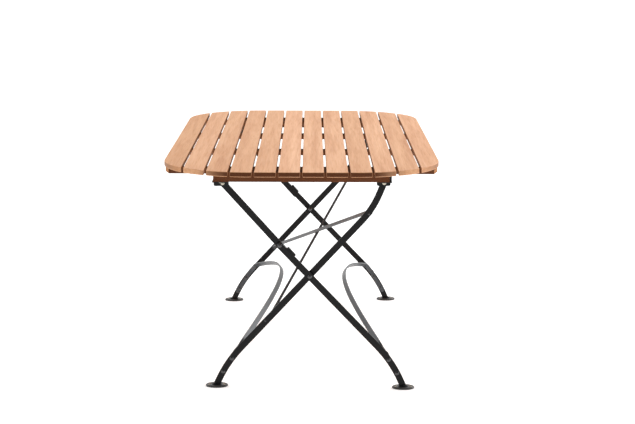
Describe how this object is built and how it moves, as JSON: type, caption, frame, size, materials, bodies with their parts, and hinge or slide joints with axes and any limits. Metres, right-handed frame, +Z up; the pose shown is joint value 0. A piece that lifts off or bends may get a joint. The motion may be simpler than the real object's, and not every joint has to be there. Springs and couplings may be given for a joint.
{
  "type": "folding slatted garden table",
  "caption": "Folding garden table: oval-cornered slatted wood top on two crossed frames of flat black steel with arched stretchers and a crossed brace.",
  "frame": {"origin": "on the floor, under the middle of the tabletop", "axes": "X across the table, Y along the slats with the front end at -Y, Z up"},
  "size_m": [0.8806, 1.63, 0.738],
  "materials": {
    "slat_wood": "oiled hardwood, satin",
    "rail_wood": "oiled hardwood, darker, satin",
    "black_steel": "black powder coat, satin",
    "rivet_steel": "black, slightly glossier"
  },
  "bodies": {
    "tabletop": {"slat_01": "slat_wood", "slat_02": "slat_wood", "slat_03": "slat_wood", "slat_04": "slat_wood", "slat_05": "slat_wood", "slat_06": "slat_wood", "slat_07": "slat_wood", "slat_08": "slat_wood", "slat_09": "slat_wood", "slat_10": "slat_wood", "slat_11": "slat_wood", "slat_12": "slat_wood", "batten_front_mid": "rail_wood", "batten_front_end": "rail_wood", "batten_back_mid": "rail_wood", "batten_back_end": "rail_wood", "end_rail_front": "rail_wood", "end_rail_back": "rail_wood", "link_bracket_front": "black_steel", "link_bracket_back": "black_steel", "frame_b_bracket_front": "black_steel", "frame_b_bracket_back": "black_steel", "link_hinge_pin_front": "rivet_steel", "link_hinge_pin_back": "rivet_steel", "frame_b_hinge_pin_front": "rivet_steel", "frame_b_hinge_pin_back": "rivet_steel"},
    "frame_b": {"leg_b_front": "black_steel", "leg_b_back": "black_steel", "arch_b": "black_steel", "arch_rivet_b_upper_front": "rivet_steel", "arch_rivet_b_upper_back": "rivet_steel", "arch_rivet_b_lower_front": "rivet_steel", "arch_rivet_b_lower_back": "rivet_steel", "brace_lower": "black_steel", "brace_upper": "black_steel", "brace_centre_rivet": "rivet_steel", "brace_rivet_low_front": "rivet_steel", "brace_rivet_low_back": "rivet_steel", "brace_rivet_high_front": "rivet_steel", "brace_rivet_high_back": "rivet_steel", "foot_b_front": "black_steel", "foot_b_back": "black_steel"},
    "frame_a": {"lower_leg_a_front": "black_steel", "lower_leg_a_back": "black_steel", "arch_a": "black_steel", "arch_rivet_a_upper_front": "rivet_steel", "arch_rivet_a_upper_back": "rivet_steel", "arch_rivet_a_lower_front": "rivet_steel", "arch_rivet_a_lower_back": "rivet_steel", "knuckle_rivet_front": "rivet_steel", "knuckle_rivet_back": "rivet_steel", "crossing_rivet_front": "rivet_steel", "crossing_rivet_back": "rivet_steel", "crossing_spacer_front": "rivet_steel", "crossing_spacer_back": "rivet_steel", "foot_a_front": "black_steel", "foot_a_back": "black_steel"},
    "link_front": {"upper_link_front": "black_steel"},
    "link_back": {"upper_link_back": "black_steel"}
  },
  "joints": [
    {"name": "frame_b_hinge", "type": "hinge", "parent": "tabletop", "child": "frame_b", "pos_m": [0.2635, 0, 0.672], "axis": [0, 1, 0], "range_deg": [0, 38]},
    {"name": "crossing_pivot", "type": "hinge", "parent": "frame_b", "child": "frame_a", "pos_m": [0.0273, 0, 0.3699], "axis": [0, 1, 0], "range_deg": [0, 71]},
    {"name": "link_hinge_front", "type": "hinge", "parent": "tabletop", "child": "link_front", "pos_m": [-0.2504, -0.612, 0.672], "axis": [0, 1, 0], "range_deg": [-41, 0]},
    {"name": "link_hinge_back", "type": "hinge", "parent": "tabletop", "child": "link_back", "pos_m": [-0.2504, 0.612, 0.672], "axis": [0, 1, 0], "range_deg": [-41, 0]}
  ],
  "couplings": [
    {"joint": "crossing_pivot", "follows": "frame_b_hinge", "ratio": 1.8508},
    {"joint": "link_hinge_front", "follows": "frame_b_hinge", "ratio": -1.0771},
    {"joint": "link_hinge_back", "follows": "frame_b_hinge", "ratio": -1.0771}
  ]
}
